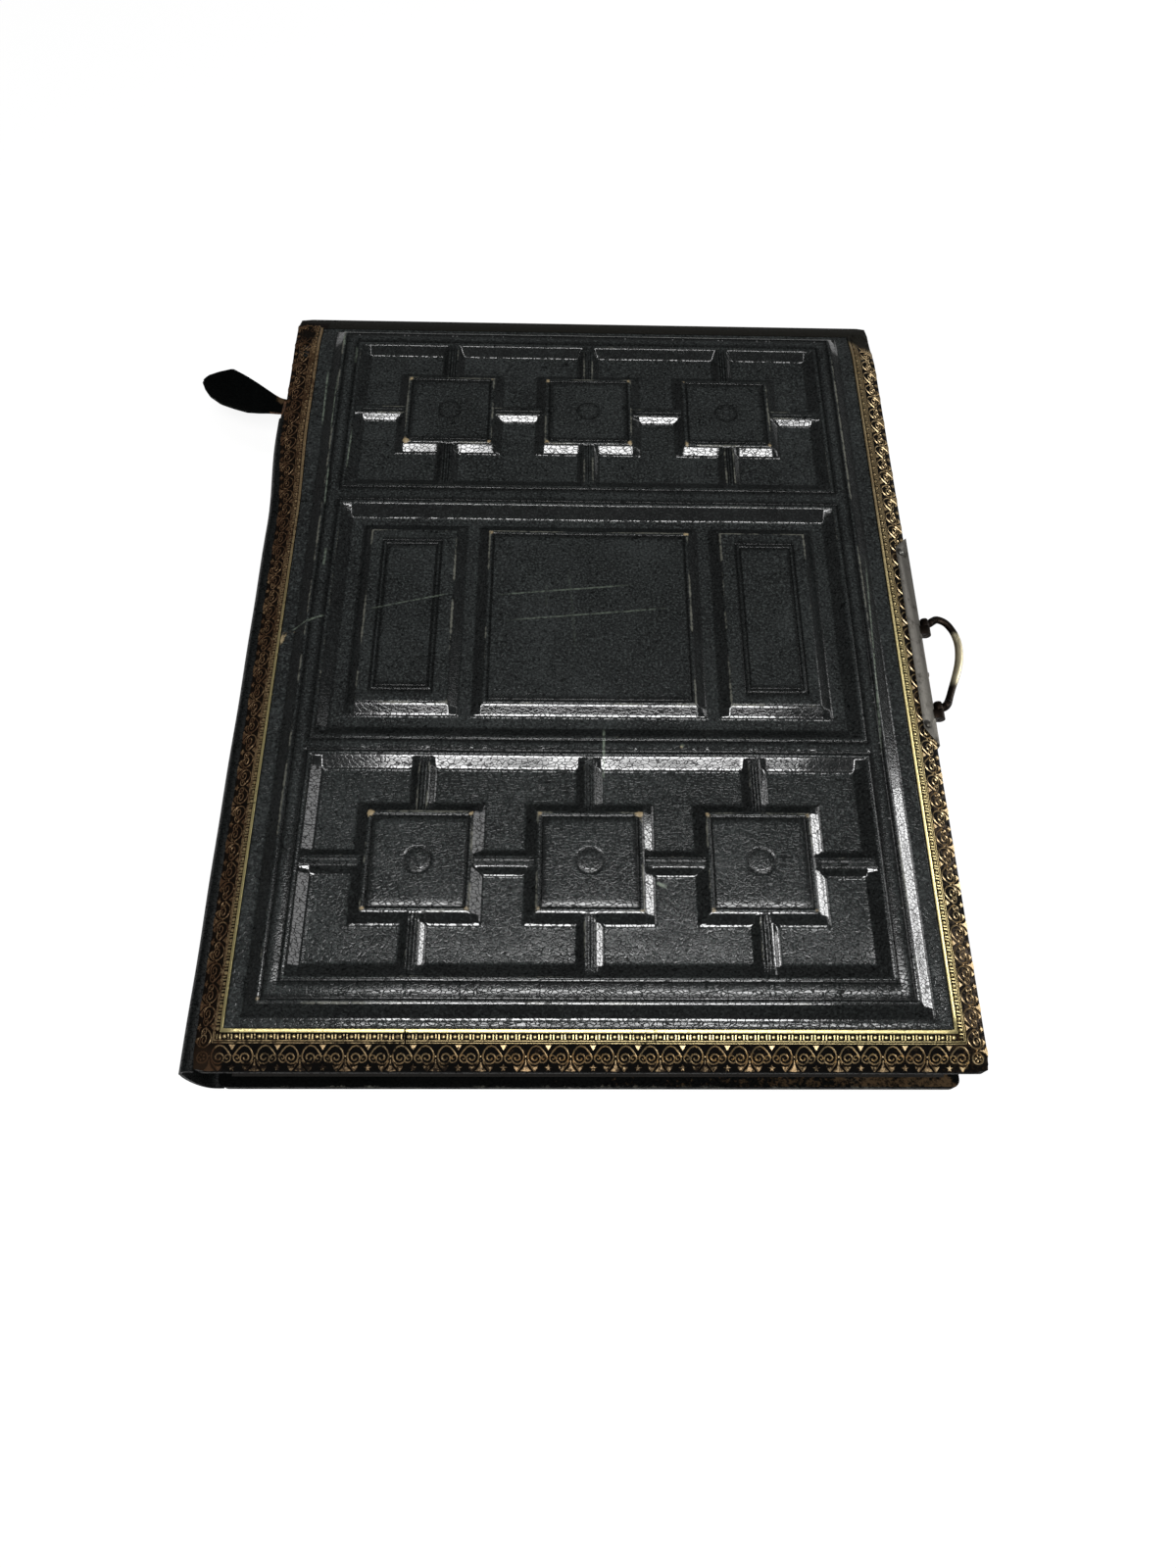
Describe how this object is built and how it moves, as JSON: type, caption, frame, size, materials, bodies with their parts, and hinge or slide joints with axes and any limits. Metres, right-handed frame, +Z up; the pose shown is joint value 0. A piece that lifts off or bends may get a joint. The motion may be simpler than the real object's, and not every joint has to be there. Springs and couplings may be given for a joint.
{
  "type": "photo album",
  "caption": "Leather photo album with a deeply panelled front cover, gilt sloping border, rounded torn spine, card leaves and a bail clasp on the fore-edge.",
  "frame": {"origin": "on the underside of the back cover, below the centre of the panelled field", "axes": "+X to the fore-edge with the clasp, +Y to the head of the album, +Z up through the front cover"},
  "size_m": [0.275, 0.29, 0.037],
  "materials": {
    "cover_leather": "pebbled morocco, worn satin",
    "spine_leather": "pebbled morocco, worn satin",
    "gilt_leaf": "worn gold leaf pressed into leather",
    "clasp_steel": "dulled, lightly scratched",
    "rivet_steel": "dulled",
    "bail_brass": "tarnished, rubbed bright on the bar",
    "page_card": "matt, aged",
    "lining_card": "matt, glue stained",
    "endpaper": "matt, aged"
  },
  "bodies": {
    "back_board": {"back_cover": "cover_leather", "back_pastedown": "endpaper", "catch_plate": "clasp_steel", "catch_rivets": "rivet_steel"},
    "book_block": {"page_block": "page_card", "spine_lining": "lining_card", "spine_leather": "spine_leather"},
    "front_board": {"front_cover": "cover_leather", "front_pastedown": "endpaper", "gilt_border": "gilt_leaf", "clasp_plate": "clasp_steel", "clasp_rivets": "rivet_steel", "bail_pins": "bail_brass"},
    "bail": {"clasp_bail": "bail_brass"}
  },
  "joints": [
    {"name": "back_joint", "type": "hinge", "parent": "back_board", "child": "book_block", "pos_m": [-0.1085, 0, 0.004], "axis": [0, -1, 0], "range_deg": [0, 175]},
    {"name": "front_joint", "type": "hinge", "parent": "book_block", "child": "front_board", "pos_m": [-0.1085, 0, 0.0295], "axis": [0, -1, 0], "range_deg": [0, 175]},
    {"name": "bail_pivot", "type": "hinge", "parent": "front_board", "child": "bail", "pos_m": [0.1127, -0.0136, 0.0293], "axis": [0, -1, 0], "range_deg": [-90, 90]}
  ]
}
